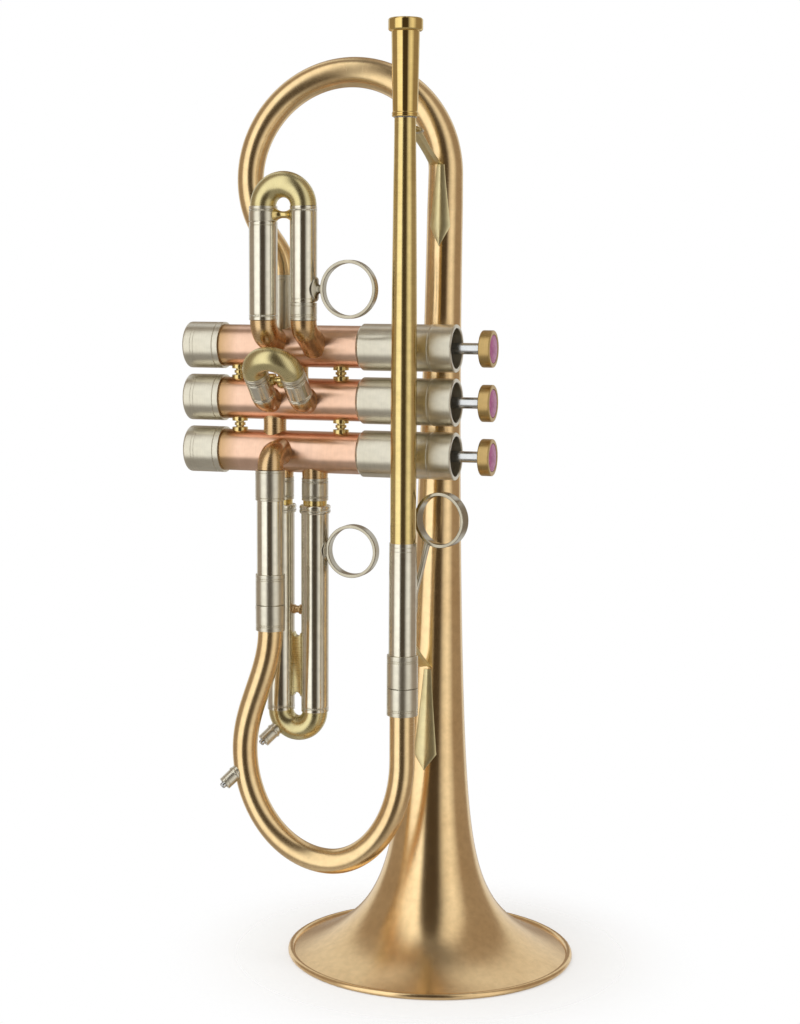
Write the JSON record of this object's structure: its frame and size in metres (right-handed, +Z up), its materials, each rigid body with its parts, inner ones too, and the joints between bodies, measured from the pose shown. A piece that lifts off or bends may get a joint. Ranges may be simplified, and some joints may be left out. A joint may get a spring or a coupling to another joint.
{
  "type": "flugelhorn",
  "caption": "Flugelhorn with a wide conical bell, piston valves set across the body, pull slides with finger rings, and a main tuning slide on the leadpipe.",
  "frame": {"origin": "middle of the bell mouth, on the surface that the bell rim stands on", "axes": "+Z up along the bell axis, +X along the valves toward the finger buttons, -Y toward the leadpipe side"},
  "size_m": [0.2069, 0.1524, 0.4864],
  "materials": {
    "satin_gold_brass": "satin brushed gold brass",
    "polished_yellow_brass": "brushed and lacquered yellow brass",
    "copper": "satin copper",
    "golden_brown_brass": "satin rose brass, darkened",
    "yellow_satin_brass": "satin yellow brass",
    "button_brass": "satin brass",
    "pink_pearl": "polished pink pearl",
    "steel": "bright steel",
    "monel": "ground nickel alloy",
    "felt": "pressed felt",
    "satin_nickel_silver": "satin brushed nickel silver"
  },
  "bodies": {
    "horn": {"bell": "satin_gold_brass", "bell_rim_wire": "satin_gold_brass", "bell_tail": "satin_gold_brass", "tail_ferrule": "satin_nickel_silver", "mouthpiece_receiver": "polished_yellow_brass", "leadpipe": "polished_yellow_brass", "main_sleeve_right": "satin_nickel_silver", "main_sleeve_left": "satin_nickel_silver", "main_fixed_ferrules": "satin_nickel_silver", "third_valve_elbow": "golden_brown_brass", "valve_1_casing": "copper", "valve_2_casing": "copper", "valve_3_casing": "copper", "upper_casings": "satin_nickel_silver", "valve_cups": "satin_nickel_silver", "bottom_caps": "satin_nickel_silver", "cup_felts": "felt", "valve_knuckles": "golden_brown_brass", "casing_spools": "yellow_satin_brass", "bell_and_lead_spools": "yellow_satin_brass", "bell_stays": "yellow_satin_brass", "stay_feet": "yellow_satin_brass", "pinky_ring": "satin_nickel_silver", "pinky_ring_post": "satin_nickel_silver", "valve_1_spring": "steel", "valve_2_spring": "steel", "valve_3_spring": "steel", "first_fixed_tubes": "satin_nickel_silver", "first_elbows": "golden_brown_brass", "second_fixed_tubes": "satin_nickel_silver", "second_elbows": "golden_brown_brass", "second_spool": "yellow_satin_brass", "third_fixed_tubes": "satin_nickel_silver", "third_stubs": "golden_brown_brass"},
    "valve_1": {"valve_1_piston": "monel", "valve_1_button": "button_brass", "valve_1_inlay": "pink_pearl"},
    "valve_2": {"valve_2_piston": "monel", "valve_2_button": "button_brass", "valve_2_inlay": "pink_pearl"},
    "valve_3": {"valve_3_piston": "monel", "valve_3_button": "button_brass", "valve_3_inlay": "pink_pearl"},
    "first_slide": {"first_crook": "yellow_satin_brass", "first_legs": "satin_nickel_silver", "first_spool": "yellow_satin_brass", "first_ring": "satin_nickel_silver"},
    "second_slide": {"second_crook": "yellow_satin_brass", "second_legs": "satin_nickel_silver"},
    "third_slide": {"third_crook": "yellow_satin_brass", "third_legs": "satin_nickel_silver", "third_ring": "satin_nickel_silver", "third_web": "yellow_satin_brass", "third_key_barrel": "satin_nickel_silver"},
    "main_slide": {"main_crook": "satin_gold_brass", "main_legs": "satin_nickel_silver", "main_key_barrel": "satin_nickel_silver"},
    "main_key": {"main_key_plunger": "steel"},
    "third_key": {"third_key_plunger": "steel"}
  },
  "joints": [
    {"name": "valve_1_press", "type": "slide", "parent": "horn", "child": "valve_1", "axis": [-0.9999, 0, -0.014], "range_m": [0, 0.016], "stiffness_N_per_m": 120, "springref_m": -0.012, "deforming": ["valve_1_spring"]},
    {"name": "valve_2_press", "type": "slide", "parent": "horn", "child": "valve_2", "axis": [-0.9999, 0, -0.014], "range_m": [0, 0.016], "stiffness_N_per_m": 120, "springref_m": -0.012, "deforming": ["valve_2_spring"]},
    {"name": "valve_3_press", "type": "slide", "parent": "horn", "child": "valve_3", "axis": [-0.9999, 0, -0.014], "range_m": [0, 0.016], "stiffness_N_per_m": 120, "springref_m": -0.012, "deforming": ["valve_3_spring"]},
    {"name": "first_slide_pull", "type": "slide", "parent": "horn", "child": "first_slide", "axis": [-0.014, 0, 0.9999], "range_m": [0, 0.04]},
    {"name": "second_slide_pull", "type": "slide", "parent": "horn", "child": "second_slide", "axis": [-0.01, -0.6947, 0.7193], "range_m": [0, 0.01]},
    {"name": "third_slide_pull", "type": "slide", "parent": "horn", "child": "third_slide", "axis": [0.014, 0, -0.9999], "range_m": [0, 0.05]},
    {"name": "main_slide_pull", "type": "slide", "parent": "horn", "child": "main_slide", "axis": [0.014, 0, -0.9999], "range_m": [0, 0.028]},
    {"name": "main_key_press", "type": "slide", "parent": "main_slide", "child": "main_key", "axis": [0.5407, 0.5495, 0.6369], "range_m": [0, 0.002], "stiffness_N_per_m": 300, "springref_m": -0.003},
    {"name": "third_key_press", "type": "slide", "parent": "third_slide", "child": "third_key", "axis": [0.5407, 0.5495, 0.6369], "range_m": [0, 0.002], "stiffness_N_per_m": 300, "springref_m": -0.003}
  ]
}
